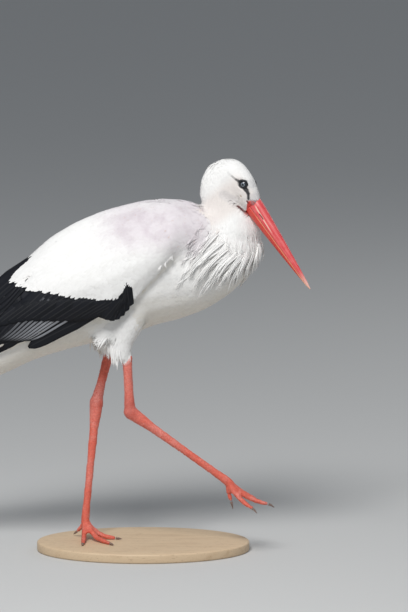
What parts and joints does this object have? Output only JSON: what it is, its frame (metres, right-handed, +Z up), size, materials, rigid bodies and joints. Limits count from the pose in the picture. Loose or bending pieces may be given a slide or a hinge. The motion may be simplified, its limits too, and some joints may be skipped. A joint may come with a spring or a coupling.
{
  "type": "white stork",
  "caption": "Life-size still model of a white stork in mid stride, front foot raised and bill pointing down, standing on a flat oval display base.",
  "frame": {"origin": "centre of the display base's flat underside", "axes": "+X the way the bird walks, +Y the bird's left side, +Z up"},
  "size_m": [0.7417, 0.23, 0.6678],
  "materials": {
    "plumage_white": "soft matt white feathers, faintly dusty on the upper back",
    "plumage_black": "satin black flight feathers with silver-grey outer edges",
    "bill_horn": "satin deep red horn, pale at the tip",
    "leg_skin": "scaly coral red bare skin",
    "claw_horn": "satin dark horn",
    "eye": "wet gloss, dark iris",
    "stand_wood": "satin varnished wood"
  },
  "bodies": {
    "root": {"trunk": "plumage_white", "neck_lower": "plumage_white", "neck_upper": "plumage_white", "tail": "plumage_white", "head": "plumage_white", "eye_left": "eye", "eye_right": "eye", "bill_upper": "bill_horn", "bill_lower": "bill_horn", "wing_left_coverts": "plumage_white", "wing_left_alula": "plumage_black", "wing_left_secondaries": "plumage_black", "wing_left_primaries": "plumage_black", "wing_right_coverts": "plumage_white", "wing_right_alula": "plumage_black", "wing_right_secondaries": "plumage_black", "wing_right_primaries": "plumage_black", "thigh_left": "plumage_white", "tibia_left": "leg_skin", "tarsus_left": "leg_skin", "toe_left_inner": "leg_skin", "claw_left_inner": "claw_horn", "toe_left_middle": "leg_skin", "claw_left_middle": "claw_horn", "toe_left_outer": "leg_skin", "claw_left_outer": "claw_horn", "toe_left_hind": "leg_skin", "claw_left_hind": "claw_horn", "thigh_right": "plumage_white", "tibia_right": "leg_skin", "tarsus_right": "leg_skin", "toe_right_inner": "leg_skin", "claw_right_inner": "claw_horn", "toe_right_middle": "leg_skin", "claw_right_middle": "claw_horn", "toe_right_outer": "leg_skin", "claw_right_outer": "claw_horn", "toe_right_hind": "leg_skin", "claw_right_hind": "claw_horn", "stand_base": "stand_wood"}
  },
  "joints": []
}
